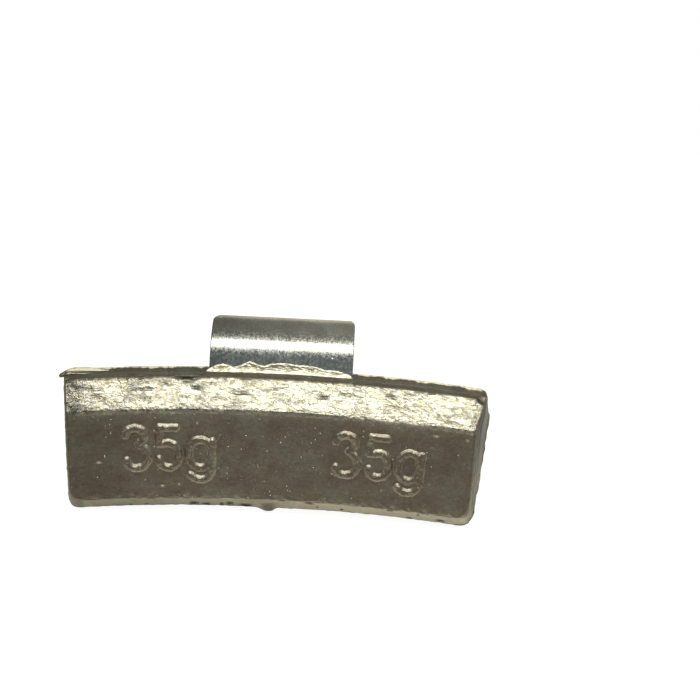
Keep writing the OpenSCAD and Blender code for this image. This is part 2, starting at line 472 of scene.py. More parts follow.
def stroke_height(u, v):
    """Height of the figures above the face, with rounded sides and an uneven top."""
    from_foot = np.full(u.shape, FAR_OFF)
    from_top = np.full(u.shape, FAR_OFF)
    for first in range(0, len(figures), BATCH):
        part = figures[first:first + BATCH]
        lo, hi = part.min(axis=0) - 0.8, part.max(axis=0) + 0.8
        near = (u > lo[0]) & (u < hi[0]) & (v > lo[1]) & (v < hi[1])
        if near.any():
            du = u[near][:, None] - part[None, :, 0]
            dv = v[near][:, None] - part[None, :, 1]
            from_foot[near] = np.minimum(from_foot[near], np.hypot(du, dv).min(axis=1))
            from_top[near] = np.minimum(from_top[near], np.hypot(du, dv - STROKE_TOP_DROP).min(axis=1))
    wander = 0.03 * waves(u, v, 1.6, 0.5, 11)
    up_from_foot = np.maximum(STROKE_FOOT + wander - from_foot, 0)
    out_from_top = np.maximum(from_top - STROKE_TOP - wander, 0)
    ramp = up_from_foot / (up_from_foot + out_from_top + 1e-6)
    height = STROKE_RISE * (1 - (1 - ramp) ** 1.6) * (1 + 0.13 * waves(u, v, 1.4, 0.35, 12))
    for wu, wv, size, share in WORN:
        height = height * (1 - share * np.exp(-((u - wu) ** 2 + (v - wv) ** 2) / size ** 2))
    return height


# Cold folds in the bevel, where the lead froze as it ran: both ends as u along and v down, depth, width
FOLDS = (
    (-12.0, 0.75, -10.2, 1.05, 0.07, 0.10),
    (-15.0, 1.5, -11.6, 1.2, 0.08, 0.12),
    (-13.4, 2.3, -11.6, 2.3, 0.06, 0.09),
    (-8.65, 1.1, -7.5, 1.22, 0.12, 0.13),
    (-7.6, 0.55, -5.0, 1.0, 0.05, 0.08),
    (-4.6, 1.6, -2.4, 1.75, 0.10, 0.20),
    (-1.2, 1.0, 1.0, 1.25, 0.06, 0.12),
    (0.4, 2.2, 3.4, 2.0, 0.05, 0.10),
    (4.2, 1.6, 5.6, 1.8, 0.10, 0.18),
    (5.8, 0.9, 8.0, 1.3, 0.05, 0.10),
    (11.2, 0.95, 12.6, 1.1, 0.10, 0.16),
    (11.4, 2.1, 13.9, 2.05, 0.07, 0.09),
    (15.2, 1.7, 16.8, 2.6, 0.04, 0.09),
    (16.6, 0.8, 19.0, 2.1, 0.05, 0.09),
    (17.6, 3.1, 20.4, 3.15, 0.07, 0.10),
    (-19.2, 1.3, -17.2, 1.1, 0.07, 0.18),
    (-18.6, 2.0, -17.0, 2.25, 0.09, 0.25),
)
# The scoop out of the shoulder, left of the clip: u, half length, depth
SCOOP = (-8.95, 1.0, 0.1)
# The stub where the sprue broke off under the body: u, half widths to its left and right, height
GATE = (-0.1, 1.1, 0.6, 0.36)
# Where the lip is rolled over, and painted bright there as a highlight: u, half length, amount
ROLLED = (
    (-20.6, 1.5, 1.0), (-17.6, 1.2, 0.5), (-12.7, 0.8, 0.6), (-11.0, 0.7, 0.5), (-7.6, 0.2, 0.5),
    (9.1, 0.6, 0.4), (11.6, 0.7, 0.5), (14.9, 0.7, 0.8), (17.0, 1.2, 0.4), (20.2, 1.2, 0.9),
    (22.2, 0.8, 1.0))
# Chips along the strip under the face: u, half length, place down the strip, half height
NICKS = (
    (-15.2, 0.15, 1.7, 0.3), (-13.5, 0.2, 1.7, 0.3), (-8.3, 0.55, 1.4, 0.5), (-7.05, 0.5, 1.6, 0.4),
    (-5.3, 0.25, 1.5, 0.45), (-4.4, 0.45, 1.3, 0.5), (-2.75, 0.7, 1.6, 0.45), (4.2, 0.5, 0.2, 0.3),
    (5.1, 0.15, 1.1, 0.2), (7.8, 0.2, 1.3, 0.2), (8.6, 0.15, 1.9, 0.2), (13.0, 0.35, 0.15, 0.3),
    (11.3, 0.1, 1.9, 0.2), (15.2, 0.3, 1.7, 0.25), (16.1, 0.15, 0.6, 0.2), (18.6, 0.5, 1.3, 0.3),
    (20.4, 0.2, 1.8, 0.3))
# Burrs on the face that catch the lamp, their bright colour a painted glint: u, v, half length, half height
BURRS = (
    (-11.57, 8.37, 0.2, 0.07), (-9.78, 8.2, 0.1, 0.08), (-7.78, 1.33, 0.08, 0.08),
    (-18.2, 5.6, 0.22, 0.1), (16.85, 0.95, 0.25, 0.08), (20.1, 0.95, 0.1, 0.08),
    (6.45, 6.35, 0.1, 0.08))
# Patches of the face that are covered with fine specks, painted bright as glints: u, v, size
DUST_GLINT_PATCHES = (
    (-6.2, 2.9, 1.1), (-4.9, 3.1, 0.9), (-1.2, 5.8, 0.9), (2.3, 2.6, 1.6), (3.5, 4.5, 1.5),
    (-2.2, 7.6, 1.4), (15.6, 2.6, 1.2), (9.9, 3.2, 0.8), (-13.2, 5.2, 0.7), (-12.3, 2.5, 0.6),
    (8.0, 6.0, 0.8), (-17.6, 5.6, 0.8))


def fold_depth(u, v):
    """Depth of the cold folds in the bevel."""
    depth = np.zeros(u.shape)
    bend = 0.12 * waves(u, v, 3.0, 0.8, 23)
    for u0, v0, u1, v1, deep, wide in FOLDS:
        run = np.array([u1 - u0, v1 - v0])
        t = np.clip(((u - u0) * run[0] + (v - v0) * run[1]) / (run @ run), 0, 1)
        away = np.hypot(u - u0 - t * run[0], v - v0 - t * run[1] + bend)
        taper = np.sqrt(np.clip(1 - (2 * t - 1) ** 2, 0, 1)) * 0.8 + 0.2
        depth = depth + deep * taper * np.exp(-(away / wide) ** 2)
    return depth


def rolled(u):
    """How far the lip is rolled over at each place along it."""
    total = np.zeros(u.shape)
    for middle, half, amount in ROLLED:
        total = np.maximum(total, amount * np.exp(-((u - middle) / half) ** 4))
    return total * (0.7 + 0.3 * waves(u, 0 * u, 1.2, 0.3, 19))


def in_scoop(u, from_shoulder):
    """The scoop: 1 in its middle."""
    return np.exp(-((u - SCOOP[0]) / SCOOP[1]) ** 4 - ((from_shoulder - 0.15) / 0.4) ** 2)


def on_gate(u):
    """The stub's rounded outline: steeper on its right."""
    half = np.where(u < GATE[0], GATE[1], GATE[2])
    return np.exp(-np.abs((u - GATE[0]) / half) ** 3)


def corner_drop(u, from_shoulder):
    """How far the two upper corners of the bevel are worn down."""
    right = smooth(u - np.abs(from_shoulder), 19.9, 21.6) ** 1.5
    left = smooth(-u - np.abs(from_shoulder), 20.2, 21.7) ** 1.5
    return 0.8 * right + 0.45 * left


def nicked(u, v):
    """The chips along the strip: 1 in their middle."""
    total = np.zeros(u.shape)
    for middle, half, down, high in NICKS:
        total = np.maximum(total, np.exp(-((u - middle) / half) ** 4 - ((v - down) / high) ** 4))
    return total * smooth(waves(u, v, 0.9, 0.25, 27), -1.3, -0.5)


def burred(u, v):
    """The burrs on the face: 1 in their middle."""
    total = np.zeros(u.shape)
    for middle, down, half, high in BURRS:
        total = np.maximum(total, np.exp(-((u - middle) / half) ** 2 - ((v - down) / high) ** 2))
    return total


def dust_glint_density(u, v):
    """How thickly the face is covered with bright specks, painted glints, at each place."""
    total = np.full(u.shape, 0.12)
    for middle, down, size in DUST_GLINT_PATCHES:
        total = np.maximum(total, np.exp(-((u - middle) ** 2 + (v - down) ** 2) / size ** 2))
    return total


def stroke_foot_highlight(u, v):
    """The thin painted highlight along the foot of each stroke, strongest on its lower side."""
    here = stroke_height(u, v)
    beside = np.maximum(stroke_height(u - 0.08, v), stroke_height(u + 0.08, v))
    rise = np.maximum(stroke_height(u, v - 0.1), 0.8 * beside) - here
    return smooth(rise, 0.05, 0.13) * (1 - smooth(here, 0.03, 0.1))


def surface_shift(u, v, facet):
    """How far the real casting stands off the ideal section, along its normal, on each facet."""
    shift = 0.012 * waves(u, v + 7 * facet, 6.0, 2.0, 3)
    # The face carries the figures; its lower edge is ragged and its upper edge worn
    face = facet == FACE
    uf, vf = u[face], v[face]
    ragged = (0.02 + 0.04 * waves(uf, vf, 2.6, 0.5, 5)) * smooth(vf, 9.2, 9.7)
    worn = 0.05 * np.maximum(1 - vf / 1.4, 0) ** 2
    lifted = 0.06 * np.exp(-((uf - 12.0) / 5.0) ** 4) * np.maximum(1 - vf / 1.5, 0)
    shift[face] += stroke_height(uf, vf) - ragged - worn + lifted + 0.04 * burred(uf, vf)
    # The bevel is creased and wrinkled, most of all at its two ends
    bevel = facet == BEVEL
    ub, vb = u[bevel], v[bevel]
    end_rough = smooth(-ub, 18.6, 20.6) + 0.7 * smooth(ub, 19.4, 20.8)
    inside = smooth(vb, 0.0, 0.35) * smooth(-vb, -3.6, -3.3)
    wrinkled = 0.022 * waves(ub * 0.45, vb, 2.2, 0.5, 7) + 0.008 * waves(ub * 0.6, vb, 0.7, 0.3, 8)
    shift[bevel] += inside * wrinkled
    shift[bevel] += end_rough * 0.05 * smooth(-vb, -3.5, -3.0) * waves(ub, vb, 1.1, 0.4, 9)
    shift[bevel] -= 0.8 * fold_depth(ub, vb) + 0.07 * np.maximum(1 - vb / 0.4, 0) ** 1.5
    # The lip is rolled forward in places. Under it runs a low bead, and a crease along the bevel
    band = facet == BAND
    ua, va = u[band], v[band]
    over = rolled(ua)
    under_lip = smooth(va / (0.12 + 0.22 * over), 0.0, 1.0) * (1 - va / BAND_LENGTH)
    shift[band] -= (0.05 + 0.22 * over) * under_lip
    shift[band] += 0.035 * np.exp(-((va - 1.4 - 0.05 * waves(ua, va, 9, 3, 13)) / 0.12) ** 2)
    shift[band] -= 0.05 * np.exp(-((va - 1.9) / 0.12) ** 2)
    # Both edges of the bevel wander, its upper corners are worn down, and a scoop is out of the shoulder
    from_ridge = np.where(bevel, BEVEL_LENGTH - v, v)
    ridge = 0.04 * waves(u, v, 0.9, 0.22, 25) * np.exp(-(from_ridge / 0.3) ** 2)
    shift = shift + np.where(bevel | face, ridge, 0)
    from_shoulder = np.where(band, v - BAND_LENGTH, v)
    wobble = 0.06 * waves(u, 0 * v, 1.2, 0.3, 15) * np.exp(-(from_shoulder / 0.25) ** 2)
    scoop = SCOOP[2] * in_scoop(u, from_shoulder)
    shift = shift + np.where(band | bevel, wobble - scoop - corner_drop(u, from_shoulder), 0)
    # The strip under the face is uneven, chipped, a little full in the middle and has the sprue's stub
    strip = facet == STRIP
    us, vs = u[strip], v[strip]
    full = 0.07 * np.exp(-((us + 1.0) / 5.5) ** 2) * smooth(vs, 0.6, 1.6)
    shift[strip] += 0.02 * waves(us, vs, 2.4, 0.6, 17) + full
    shift[strip] += GATE[3] * on_gate(us) * smooth(vs, 0.9, 1.8) - 0.08 * nicked(us, vs)
    return shift


def rings_along():
    """Places of the square rings along the body, closer together where the figures are."""
    places = [-SQUARE_TO]
    while places[-1] < SQUARE_TO:
        fine = any(a <= places[-1] < b for a, b in FIGURE_SPANS)
        places.append(places[-1] + (FIGURE_STEP_X if fine else PLAIN_STEP_X))
    return places[:-1] + [SQUARE_TO]


def body_mesh():
    """The casting: rings of the section along the body, and a cap of shrinking rings on each end."""
    loop = section_loop()
    radius, depth, n_radius, n_depth, facet, along = loop.T
    facet = facet.astype(int)
    inner_r, inner_d = radius - END_EDGE_R * n_radius, depth - END_EDGE_R * n_depth

    def cap(side, rim_shift):
        out = []
        for share in CAP_SHARES:
            r = SECTION_CORE[0] + share * (inner_r - SECTION_CORE[0])
            d = SECTION_CORE[1] + share * (inner_d - SECTION_CORE[1])
            rough = 0.02 * waves(r, d, 2.5, 0.7, 41) + 0.02 * waves(r * 0.3, d, 0.9, 0.25, 42)
            # A step runs down the end where the die halves met, and a ragged flash stands at the back edge
            step = -0.09 * np.exp(-((d - 1.15) / 0.28) ** 2) + 0.05 * np.exp(-((d - 1.75) / 0.3) ** 2)
            torn = smooth(waves(r, 0 * d, 1.2, 0.3, 43), -0.1, 0.25)
            flash = (0.06 + 0.07 * torn) * np.exp(-((d - 0.3) / 0.3) ** 2) * (1 if side > 0 else 0.4)
            turn = end_angle(r, d, side) + (rough + step + flash) * min(1, share * 1.2) / r
            out.append((r + share * rim_shift * n_radius, d + share * rim_shift * n_depth, side * turn))
        for back in np.radians(RIM_TURNS):
            drop = END_EDGE_R * (1 - math.cos(back))
            shrink = END_EDGE_R * (1 - math.sin(back))
            r, d = radius - shrink * n_radius, depth - shrink * n_depth
            turn = side * (end_angle(r, d, side) - drop / r)
            out.append((r + rim_shift * n_radius, d + rim_shift * n_depth, turn))
        return out

    reach = {side: FACE_R * (end_angle(radius, depth, side) - END_EDGE_R / radius) for side in (-1, 1)}
    left = cap(-1, surface_shift(-reach[-1], along, facet))
    right = cap(1, surface_shift(reach[1], along, facet))
    tail = np.concatenate([np.arange(0.2, 5.0, 0.2), [5.06, TAIL_LENGTH]]) / TAIL_LENGTH
    across = [-(SQUARE_TO + (reach[-1] - SQUARE_TO) * t) for t in tail[::-1][1:]]
    across += [np.full(len(radius), place) for place in rings_along()]
    across += [SQUARE_TO + (reach[1] - SQUARE_TO) * t for t in tail[:-1]]
    rings = left + [(radius, depth, u / FACE_R) for u in across] + right[::-1]
    r, d, turn = [np.array([ring[k] for ring in rings]) for k in range(3)]
    beyond_left, beyond_right = np.full(len(radius), -ON_END), np.full(len(radius), ON_END)
    u = np.array([beyond_left] * len(left) + across + [beyond_right] * len(right))
    facets = np.broadcast_to(facet, u.shape).copy()
    v = np.broadcast_to(along, u.shape).copy()
    on_side = np.abs(u) < ON_END
    # Share of the end in the shading: none on the long sides and the rounded corners, all on the end's flat
    on_cap = np.array([1.0] * len(CAP_SHARES) + list(RIM_END_SHARES))
    beyond = np.concatenate([on_cap, np.zeros(len(rings) - 2 * len(on_cap)), on_cap[::-1]])[:, None]
    end = beyond * smooth(above_foot(r, d), 0.15, 1.3) * smooth(below_top(r, d), 0.0, 0.7)
    shift = np.zeros(u.shape)
    shift[on_side] = surface_shift(u[on_side], v[on_side], facets[on_side])
    r = r + shift * n_radius
    d = d + shift * n_depth
    points = np.stack([r * np.sin(turn), -d, AXLE_Z + r * np.cos(turn)], axis=-1).reshape(-1, 3)
    faces = ring_faces(len(rings), len(radius))
    faces.append(tuple(range(len(radius))))
    faces.append(tuple(range(len(points) - 1, len(points) - len(radius) - 1, -1)))

    on_face = on_side & (facets == FACE)
    uf, vf = u[on_face], v[on_face]
    # How far the skin is the bevel's: full on the bevel, less on the ridge and on the right half of the
    # band. Its lighter colour there is a painted highlight on the ridge and painted light on the band
    bevel = np.where(facets == FACE, 0.6 * smooth(-v, -0.6, 0.0), 0.0)
    bevel = np.where(facets == BEVEL, smooth(v, 0.0, 0.12), bevel) * (1 - in_scoop(u, v))
    rough_end = smooth(-u, 18.6, 20.4) + 0.5 * smooth(u, 19.4, 20.8)
    bevel = np.where(on_side, bevel * (1 + rough_end), 0.0)
    band_painted_light = 0.35 * smooth(u, 3.0, 9.0) * smooth(v, 0.4, 0.6) * smooth(-v, -1.75, -1.6)
    bevel = np.where(on_side & (facets == BAND), band_painted_light, bevel)
    ridge = np.where(on_face, smooth(-v, -1.5, 0.0), 0.0)
    raised = np.where(facets == FACE, np.clip(shift / STROKE_RISE, 0, 1), 0.0)
    # Painted shade, partly oxide, in the hollows: folds, crease, scoop, chips, the two ends and the edges
    # round them, the strip's lower edge and the sprue's stub, and more on the left of the face and strip
    in_hollow = in_scoop(u, np.where(facets == BAND, v - BAND_LENGTH, v))
    left_corner = np.where(on_side, smooth(-u, reach[-1] - 0.5, reach[-1]), np.where(u < 0, 1.0, 0.0))
    oxide_and_painted_shade = np.zeros(u.shape)
    for facet, amount in (
            (BAND, 0.5 * np.exp(-((v - 1.95) / 0.12) ** 2)),
            (BAND, in_hollow),
            (BAND, 0.15 * smooth(-v, -1.35, -1.0) * smooth(-u, -8.0, -2.0)),
            (BEVEL, in_hollow),
            (BEVEL, np.clip(fold_depth(u, v) / 0.1, 0, 1) ** 1.5),
            (BEVEL, 0.15 * smooth(-u, 18.8, 21.0)),
            (FACE, 0.15 * smooth(-u, 13.0, 18.0)),
            (STRIP, nicked(u, v)),
            (STRIP, 0.85 * smooth(v, 1.72, 1.95)),
            (STRIP, 0.22 * smooth(-u, 6.0, 12.0)),
            (STRIP, 0.6 * on_gate(u - 0.1) * smooth(v, 0.5, 1.0)),
            (STRIP, 0.55 * left_corner)):
        oxide_and_painted_shade = np.maximum(oxide_and_painted_shade, np.where(facets == facet, amount, 0.0))
    oxide_and_painted_shade = np.maximum(oxide_and_painted_shade * (1 - end), end * np.where(u < 0, 0.2, 0.0))
    # Painted highlights, partly rubbed wear: the lip, the strip under the face, lighter to the right, the
    # burrs and the foot of each stroke
    along_lip = waves(u, 0 * u, 1.4, 0.3, 29)
    lip_width = 0.2 + 0.28 * rolled(u) + 0.07 * along_lip
    lip_highlight = np.clip(0.4 + 0.7 * rolled(u) + 0.45 * along_lip, 0, 1)
    on_lip = np.where(facets == BAND, smooth(lip_width - v, -0.05, 0.1), 0.0)
    on_lip = np.where(facets == SIDE, smooth(v, 4.8, 5.0), on_lip)
    rubbed_and_highlight = np.where(on_side, lip_highlight * on_lip, 0.0)
    strip_painted_light = (0.12 + 0.22 * smooth(u, 0.0, 6.0)) * (1 - end)
    rubbed_and_highlight = np.maximum(rubbed_and_highlight, np.where(facets == STRIP, strip_painted_light, 0.0))
    rubbed_and_highlight[on_face] = np.maximum(burred(uf, vf), 0.55 * stroke_foot_highlight(uf, vf))
    dust_glints = np.zeros(u.shape)
    dust_glints[on_face] = dust_glint_density(uf, vf)
    weights = {
        "bevel": bevel, "raised": raised, "oxide_and_painted_shade": oxide_and_painted_shade, "rubbed_and_highlight": rubbed_and_highlight, "end": end, "ridge": ridge,
        "dust_glints": dust_glints}
    return points, faces, {key: values.ravel() for key, values in weights.items()}


# Lead alloy straight from the die: a soft grey metal, dulled by a thin oxide, and painted bright where it
# catches the lamp, partly where it was rubbed
lead, tree = new_material("die_cast_lead")
place = add(tree, "TexCoord").outputs["Object"]
mm = add(tree, "VectorMath", {0: place, 1: (1000, 1000, 1000)}, operation="MULTIPLY")
on_bevel, on_figure, oxide_and_painted_shade, rubbed_and_highlight, on_end, dust_glints, on_ridge = [
    add(tree, "Attribute", attribute_name=name).outputs["Fac"]
    for name in ("bevel", "raised", "oxide_and_painted_shade", "rubbed_and_highlight", "end", "dust_glints", "ridge")]
# Oxide blotches 3 to 8 mm across, a cloudier stain, and streaks along the face from the die's polish
blotch = add(tree, "TexNoise", {"Vector": mm, "Scale": 0.3, "Detail": 6, "Roughness": 0.65})
stain = add(tree, "TexNoise", {"Vector": mm, "Scale": 0.5, "Detail": 6, "Roughness": 0.7})
polish_at = add(tree, "VectorMath", {0: mm, 1: (0.7, 1.6, 1.6)}, operation="MULTIPLY")
polish = add(tree, "TexNoise", {"Vector": polish_at, "Scale": 1.6, "Detail": 6, "Roughness": 0.75})
blotch_tone = add(tree, "MapRange", {"Value": blotch, "From Min": 0.4, "From Max": 0.6})
stain_tone = add(tree, "MapRange", {"Value": stain, "From Min": 0.45, "From Max": 0.68, "To Max": 0.8})
dull = add(
    tree, "Mix", {"Factor": blotch_tone, "A": linear(LEAD_FRESH), "B": linear(LEAD_DULL)}, data_type="RGBA")
stained = add(tree, "Mix", {"Factor": stain_tone, "A": dull, "B": linear(LEAD_STAINED)}, data_type="RGBA")
# The bevel is cleaner and painted brighter, a little yellow in patches of half a millimetre: partly clean
# lead and partly a painted highlight
tint = add(tree, "TexNoise", {"Vector": mm, "Scale": 1.8, "Detail": 6, "Roughness": 0.75})
tint_tone = add(tree, "MapRange", {"Value": tint, "From Min": 0.42, "From Max": 0.62})
cream = add(
    tree, "Mix", {"Factor": tint_tone, "A": linear(LEAD_BRIGHT), "B": linear(LEAD_CREAM)}, data_type="RGBA")
end_grey = add(tree, "Mix", {"Factor": on_end, "A": stained, "B": linear(LEAD_FRESH)}, data_type="RGBA")
oxide = add(tree, "Mix", {"Factor": on_bevel, "A": end_grey, "B": cream}, data_type="RGBA")
polish_tone = add(
    tree, "MapRange", {"Value": polish, "From Min": 0.3, "From Max": 0.7, "To Min": 0.79, "To Max": 1.21})
polished = add(tree, "VectorMath", {0: oxide, "Scale": polish_tone}, operation="SCALE")
# Skin of the casting: a 0.3 mm grain everywhere, and on the bevel flow lines 2 mm long, with hairlines
skin = add(tree, "TexNoise", {"Vector": mm, "Scale": 3.5, "Detail": 5, "Roughness": 0.65})
drawn = add(tree, "VectorMath", {0: mm, 1: (0.5, 2.0, 2.0)}, operation="MULTIPLY")
swirl = add(tree, "TexNoise", {"Vector": mm, "Scale": 0.8, "Detail": 4, "Roughness": 0.6})
swirl_by = add(tree, "VectorMath", {0: swirl.outputs["Color"], 1: (1.5, 1.5, 1.5)}, operation="MULTIPLY")
flow_at = add(tree, "VectorMath", {0: drawn, 1: swirl_by}, operation="ADD")
fibre = add(tree, "TexNoise", {"Vector": flow_at, "Scale": 1.2, "Detail": 9, "Roughness": 0.78})
hair = add(tree, "TexNoise", {"Vector": flow_at, "Scale": 0.8, "Detail": 3, "Roughness": 0.6})
hair_from = add(tree, "Math", {0: hair, 1: 0.5}, operation="SUBTRACT")
hair_near = add(tree, "Math", {0: hair_from}, operation="ABSOLUTE")
slant_at = add(tree, "Mapping", {"Vector": mm, "Rotation": (0, math.radians(-32), 0)})
slant_drawn = add(tree, "VectorMath", {0: slant_at, 1: (0.3, 1.4, 1.4)}, operation="MULTIPLY")
slant = add(tree, "TexNoise", {"Vector": slant_drawn, "Scale": 0.9, "Detail": 3, "Roughness": 0.6})
slant_from = add(tree, "Math", {0: slant, 1: 0.43}, operation="SUBTRACT")
slant_near = add(tree, "Math", {0: slant_from}, operation="ABSOLUTE")
nearest = add(tree, "Math", {0: hair_near, 1: slant_near}, operation="MINIMUM")
no_line = add(tree, "MapRange", {"Value": nearest, "From Max": 0.026})
line_high = add(tree, "Math", {0: no_line, 1: 0.1}, operation="MULTIPLY")
wrinkle = add(tree, "Math", {0: fibre, 1: line_high}, operation="ADD")
bevel_amount = add(tree, "MapRange", {"Value": on_bevel, "To Min": 0.06, "To Max": 1.0}, clamp=False)
# Specks: in clusters, up to half of the cells of half a millimetre hold a tiny burr that catches the lamp,
# its bright colour a painted glint
cells = add(tree, "TexVoronoi", {"Vector": mm, "Scale": 2.2})
cell_pick = add(tree, "SeparateXYZ", {0: cells.outputs["Color"]})
cluster = add(
    tree, "MapRange", {"Value": stain, "From Min": 0.4, "From Max": 0.6, "To Min": 0.5, "To Max": 0.98})
picked = add(tree, "Math", {0: cell_pick, 1: cluster}, operation="GREATER_THAN")
speck_round = add(
    tree, "MapRange",
    {"Value": cells.outputs["Distance"], "From Min": 0.03, "From Max": 0.17, "To Min": 1.0, "To Max": 0.0})
speck = add(tree, "Math", {0: speck_round, 1: picked}, operation="MULTIPLY")
# Heights in metres: the grain is 17 microns, 25 more on the figures and 50 more where rubbed; a burr is 60
figure_grain = add(tree, "Math", {0: on_figure, 1: 0.000025}, operation="MULTIPLY")
rubbed_grain = add(tree, "Math", {0: rubbed_and_highlight, 1: 0.00005}, operation="MULTIPLY")
more_grain = add(tree, "Math", {0: figure_grain, 1: rubbed_grain}, operation="ADD")
grain_high = add(tree, "Math", {0: more_grain, 1: 0.000017}, operation="ADD")
grain = add(tree, "Math", {0: skin, 1: grain_high}, operation="MULTIPLY")
burr = add(tree, "Math", {0: speck, 1: 0.00006}, operation="MULTIPLY")
skin_height = add(tree, "Math", {0: grain, 1: burr}, operation="ADD")
skin_bump = add(tree, "Bump", {"Height": skin_height, "Strength": 1.0, "Distance": 1.0})
wrinkle_bump = add(
    tree, "Bump", {"Height": wrinkle, "Strength": bevel_amount, "Distance": 0.00006, "Normal": skin_bump})
# Fine dust of lead, a tenth of a millimetre across, thick only in patches, painted bright as glints
grains = add(tree, "TexVoronoi", {"Vector": mm, "Scale": 5.0})
grain_pick = add(tree, "SeparateXYZ", {0: grains.outputs["Color"]})
grain_share = add(tree, "MapRange", {"Value": dust_glints, "To Min": 1.0, "To Max": 0.55})
grain_picked = add(tree, "Math", {0: grain_pick, 1: grain_share}, operation="GREATER_THAN")
grain_round = add(
    tree, "MapRange",
    {"Value": grains.outputs["Distance"], "From Min": 0.1, "From Max": 0.35, "To Min": 0.55, "To Max": 0.0})
dust_glint_seen = add(tree, "Math", {0: grain_round, 1: grain_picked}, operation="MULTIPLY")
speckled = add(tree, "Math", {0: speck, 1: dust_glint_seen}, operation="MAXIMUM")
# Painted highlights and glints: specks, dust and the rubbed places take a near-white colour
bright = add(tree, "Math", {0: speckled, 1: rubbed_and_highlight}, operation="MAXIMUM")
highlight_and_rubbed_colour = add(
    tree, "Mix", {"Factor": bright, "A": polished, "B": linear(LEAD_RUBBED_HIGHLIGHT)}, data_type="RGBA")
# Creases and hollows are painted dark, partly oxide and partly painted shade, broken up by the flow lines
hair_dark = add(tree, "MapRange", {"Value": no_line, "To Min": 0.35, "To Max": 1.0})
bevel_dark = add(tree, "Mix", {"Factor": on_bevel, "A": 1.0, "B": hair_dark}, data_type="FLOAT")
broken = add(
    tree, "MapRange", {"Value": fibre, "From Min": 0.44, "From Max": 0.54, "To Min": 1.0, "To Max": 0.25})
whole = add(tree, "Mix", {"Factor": on_bevel, "A": 1.0, "B": broken}, data_type="FLOAT")
shade_part = add(tree, "Math", {0: oxide_and_painted_shade, 1: whole}, operation="MULTIPLY")
shade_dark = add(tree, "MapRange", {"Value": shade_part, "To Min": 1.0, "To Max": 0.15})
darker = add(tree, "Math", {0: bevel_dark, 1: shade_dark}, operation="MULTIPLY")
# The left half of the bevel is duller, in patches of two or three millimetres
mm_x, _, mm_z = add(tree, "SeparateXYZ", {0: mm}).outputs
left_half = add(
    tree, "MapRange", {"Value": mm_x, "From Min": -6.0, "From Max": 4.0, "To Min": 1.0, "To Max": 0.25})
dull_patch = add(tree, "MapRange", {"Value": swirl, "From Min": 0.45, "From Max": 0.6, "To Max": 0.4})
darker_left = add(tree, "Math", {0: dull_patch, 1: left_half}, operation="MULTIPLY")
dull_bevel = add(tree, "Math", {0: darker_left, 1: on_bevel}, operation="MULTIPLY")
not_dull = add(tree, "Math", {0: 1.0, 1: dull_bevel}, operation="SUBTRACT", use_clamp=True)
dulled = add(tree, "Math", {0: darker, 1: not_dull}, operation="MULTIPLY")
# Fine mottling everywhere. Streaks on the two ends run along the sloping face, and behind them follow the
# groove and the flash where the halves of the die met, as bands at a distance behind the face: painted shade
# in the groove and a painted highlight on the flash. The ends are also lighter lower down
mottle = add(
    tree, "MapRange", {"Value": skin, "From Min": 0.3, "From Max": 0.7, "To Min": 0.87, "To Max": 1.13})
end_turned = add(tree, "Mapping", {"Vector": mm, "Rotation": (math.radians(31), 0, 0)})
end_at = add(tree, "VectorMath", {0: end_turned, 1: (1.0, 3.0, 0.4)}, operation="MULTIPLY")
end_streak = add(tree, "TexNoise", {"Vector": end_at, "Scale": 1.0, "Detail": 6, "Roughness": 0.75})
streak_tone = add(
    tree, "MapRange",
    {"Value": end_streak, "From Min": 0.34, "From Max": 0.66, "To Min": 0.72, "To Max": 1.28})
behind_face = add(tree, "VectorMath", {0: mm, 1: (0, 0.857, 0.517)}, operation="DOT_PRODUCT")
wander = add(tree, "Math", {0: stain, 1: 0.6}, operation="MULTIPLY")
wandered = add(tree, "Math", {0: behind_face, 1: wander}, operation="ADD")
from_face = add(tree, "MapRange", {"Value": wandered, "From Min": -5.23, "From Max": -1.23})
end_painted_bands = add(tree, "ValToRGB", {0: from_face})
for i, (place_behind, level) in enumerate(END_PAINTED_BANDS):
    stop = end_painted_bands.color_ramp.elements[0] if i == 0 else end_painted_bands.color_ramp.elements.new(place_behind)
    stop.position = place_behind
    stop.color = (level, level, level, 1)
end_painted_bands.color_ramp.elements.remove(end_painted_bands.color_ramp.elements[-1])
end_height = add(
    tree, "MapRange", {"Value": mm_z, "From Min": -6.5, "From Max": 1.0, "To Min": 2.4, "To Max": 0.75})
banded = add(tree, "Math", {0: streak_tone, 1: end_painted_bands}, operation="MULTIPLY")
end_tone = add(tree, "Math", {0: banded, 1: end_height}, operation="MULTIPLY")
skin_tone = add(tree, "Mix", {"Factor": on_end, "A": mottle, "B": end_tone}, data_type="FLOAT")
tone = add(tree, "Math", {0: dulled, 1: skin_tone}, operation="MULTIPLY")
lead_colour = add(tree, "VectorMath", {0: highlight_and_rubbed_colour, "Scale": tone}, operation="SCALE")
# The oxide is a little rougher where it is thick; burrs and rubbed places scatter the lamp
oxide_rough = add(
    tree, "MapRange", {"Value": polish, "From Min": 0.3, "From Max": 0.7, "To Min": 0.48, "To Max": 0.36})
clean_rough = add(tree, "Mix", {"Factor": on_bevel, "A": oxide_rough, "B": 0.24}, data_type="FLOAT")
ridge_rough = add(tree, "Mix", {"Factor": on_ridge, "A": clean_rough, "B": 0.62}, data_type="FLOAT")
lead_rough = add(tree, "Mix", {"Factor": bright, "A": ridge_rough, "B": 0.68}, data_type="FLOAT")
metal = add(
    tree, "BsdfPrincipled",
    {"Base Color": lead_colour, "Metallic": 1.0, "Roughness": lead_rough, "Normal": wrinkle_bump})
add(tree, "OutputMaterial", {"Surface": metal})

points, faces, weights = body_mesh()
body = shell("cast_body", points, faces, lead, weights)
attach(body, "root")
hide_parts("cast_weight")

